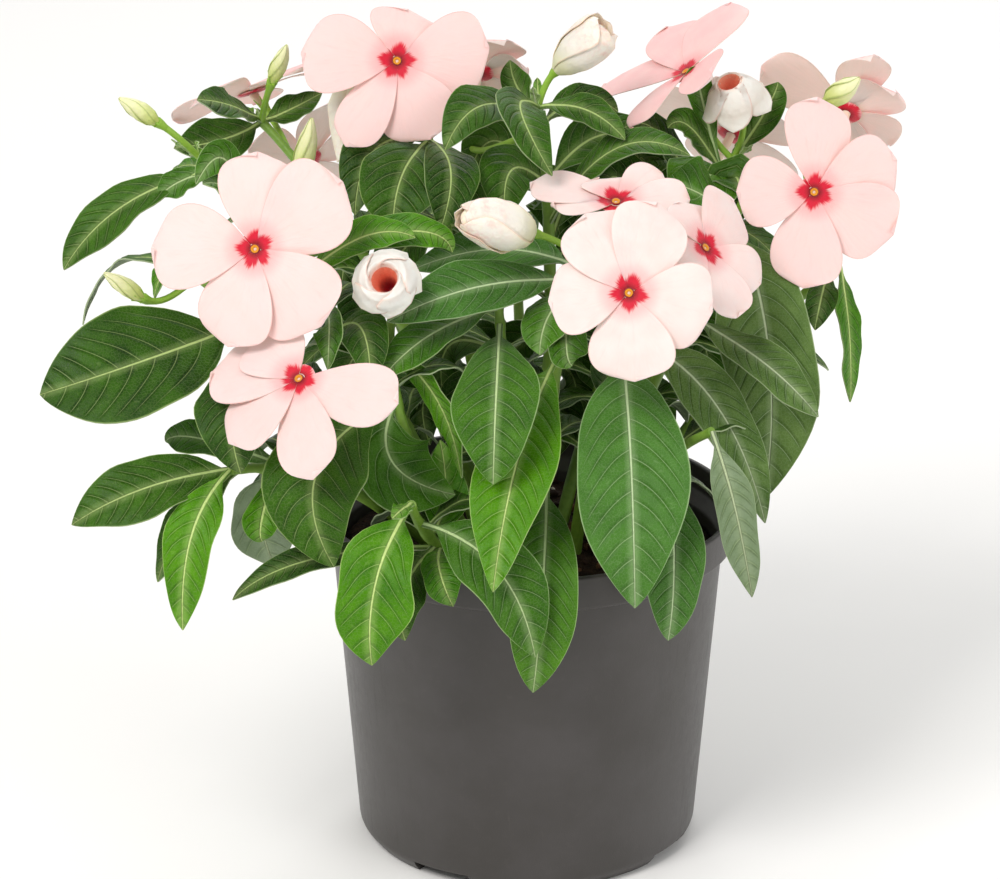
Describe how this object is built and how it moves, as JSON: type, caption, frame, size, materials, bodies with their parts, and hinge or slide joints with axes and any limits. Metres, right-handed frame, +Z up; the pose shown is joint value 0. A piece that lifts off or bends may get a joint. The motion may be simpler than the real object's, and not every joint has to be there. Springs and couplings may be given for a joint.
{
  "type": "potted flowering plant",
  "caption": "Flowering periwinkle with blush petals and crimson eyes on arching leafy stems, in a round dark grey nursery pot",
  "frame": {"origin": "centre of the pot's flat base, on the surface that it stands on", "axes": "+Z up along the pot's axis, +X to the right and +Y away from the viewer of the plant's front"},
  "size_m": [0.2431, 0.213, 0.2421],
  "materials": {
    "pot": "satin dark warm grey, thin thermoformed",
    "soil": "dark moist potting mix",
    "foliage": "waxy green leaves and stems with pale ribs",
    "petal": "velvety blush with a crimson eye",
    "green_bud": "smooth yellow green",
    "pale_bud": "soft cream"
  },
  "bodies": {
    "root": {"bloom_back_1": "petal", "bloom_back_2": "petal", "bloom_back_left": "petal", "bloom_back_right": "petal", "bloom_behind_top_left": "petal", "bloom_centre_right": "petal", "bloom_flat": "petal", "bloom_left": "petal", "bloom_low_left": "petal", "bloom_right": "petal", "bloom_slanting": "petal", "bloom_spent": "pale_bud", "bloom_top_left": "petal", "bloom_top_right": "petal", "bud_1": "green_bud", "bud_2": "green_bud", "bud_3": "green_bud", "bud_4": "green_bud", "bud_5": "pale_bud", "bud_6": "pale_bud", "bud_7": "pale_bud", "bud_8": "pale_bud", "bud_9": "green_bud", "pot": "pot", "soil": "soil", "stem_back_1": "foliage", "stem_back_2": "foliage", "stem_back_3": "foliage", "stem_back_left": "foliage", "stem_centre": "foliage", "stem_centre_left": "foliage", "stem_far_right": "foliage", "stem_front_left": "foliage", "stem_left": "foliage", "stem_low_left": "foliage", "stem_low_right": "foliage", "stem_mid_left": "foliage", "stem_outer_left": "foliage", "stem_right": "foliage", "stem_right_front": "foliage", "stem_right_up": "foliage", "stem_top_centre": "foliage", "stem_top_left": "foliage", "stem_top_right": "foliage", "stem_upper_left": "foliage"}
  },
  "joints": []
}
